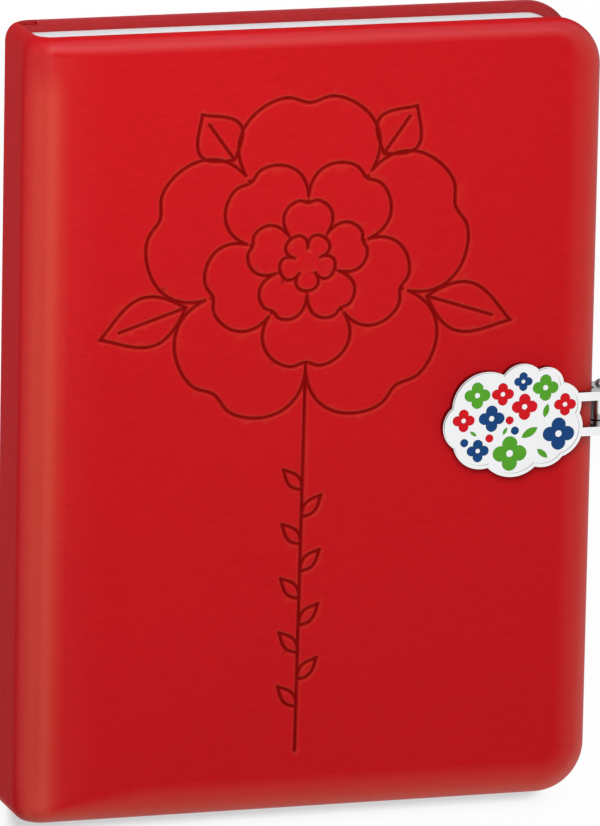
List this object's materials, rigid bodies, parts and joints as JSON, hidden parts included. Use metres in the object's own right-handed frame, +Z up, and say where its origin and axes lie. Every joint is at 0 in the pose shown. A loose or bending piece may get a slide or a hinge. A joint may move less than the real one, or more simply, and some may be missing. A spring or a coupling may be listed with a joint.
{
  "type": "journal",
  "caption": "Padded hardcover journal with rounded fore-edge corners, sewn pages and a hinged metal clasp that closes over the fore-edge by magnet.",
  "frame": {"origin": "middle of the closed journal's box, on the surface that the back cover lies on", "axes": "+X from spine to fore-edge, +Y from tail to head, +Z up from the back cover to the front cover"},
  "size_m": [0.1598, 0.206, 0.0323],
  "materials": {
    "sheet": "padded leather-like sheet, fine grain, satin",
    "turned_sheet": "the same sheet where it bends at the joint",
    "pad": "soft foam",
    "board": "grey board",
    "paper": "uncoated writing paper",
    "endpaper": "heavy uncoated paper",
    "lining": "open cotton cloth",
    "bright_metal": "polished plating",
    "plain_metal": "plain steel",
    "green_enamel": "glossy enamel",
    "blue_enamel": "glossy enamel",
    "red_enamel": "glossy enamel"
  },
  "bodies": {
    "back_cover": {"back_wrap": "sheet", "back_pad": "pad", "back_board": "board", "back_pastedown": "endpaper", "back_flyleaf": "endpaper", "spine_wrap": "sheet", "spine_card": "board", "spine_mull": "lining", "front_joint": "turned_sheet", "signature_3": "paper", "signature_4": "paper", "signature_5": "paper", "signature_6": "paper", "signature_7": "paper", "signature_8": "paper", "signature_9": "paper", "signature_10": "paper", "clasp_anchor": "bright_metal", "anchor_rivets": "plain_metal", "anchor_pin": "bright_metal"},
    "front_cover": {"front_wrap": "sheet", "front_pad": "pad", "front_board": "board", "front_pastedown": "endpaper", "keeper_plate": "plain_metal"},
    "front_pages": {"front_flyleaf": "endpaper", "signature_1": "paper", "signature_2": "paper"},
    "strap": {"clasp_strap": "bright_metal"},
    "clasp": {"clasp_plate": "bright_metal", "clasp_pin": "bright_metal", "clasp_magnet": "plain_metal", "green_enamel": "green_enamel", "blue_enamel": "blue_enamel", "red_enamel": "red_enamel"}
  },
  "joints": [
    {"name": "cover_open", "type": "hinge", "parent": "back_cover", "child": "front_cover", "pos_m": [-0.07623, 0, 0.0248], "axis": [0, -1, 0], "range_deg": [0, 179], "deforming": ["front_joint"]},
    {"name": "pages_turn", "type": "hinge", "parent": "back_cover", "child": "front_pages", "pos_m": [-0.07623, 0, 0.0248], "axis": [0, -1, 0], "range_deg": [0, 178]},
    {"name": "strap_swing", "type": "hinge", "parent": "back_cover", "child": "strap", "pos_m": [0.07698, -0.001, 0.0041], "axis": [0, 1, 0], "range_deg": [0, 75]},
    {"name": "clasp_lift", "type": "hinge", "parent": "strap", "child": "clasp", "pos_m": [0.07698, -0.001, 0.02325], "axis": [0, 1, 0], "range_deg": [0, 95]}
  ],
  "couplings": [
    {"joint": "pages_turn", "follows": "cover_open", "ratio": 0.99}
  ]
}
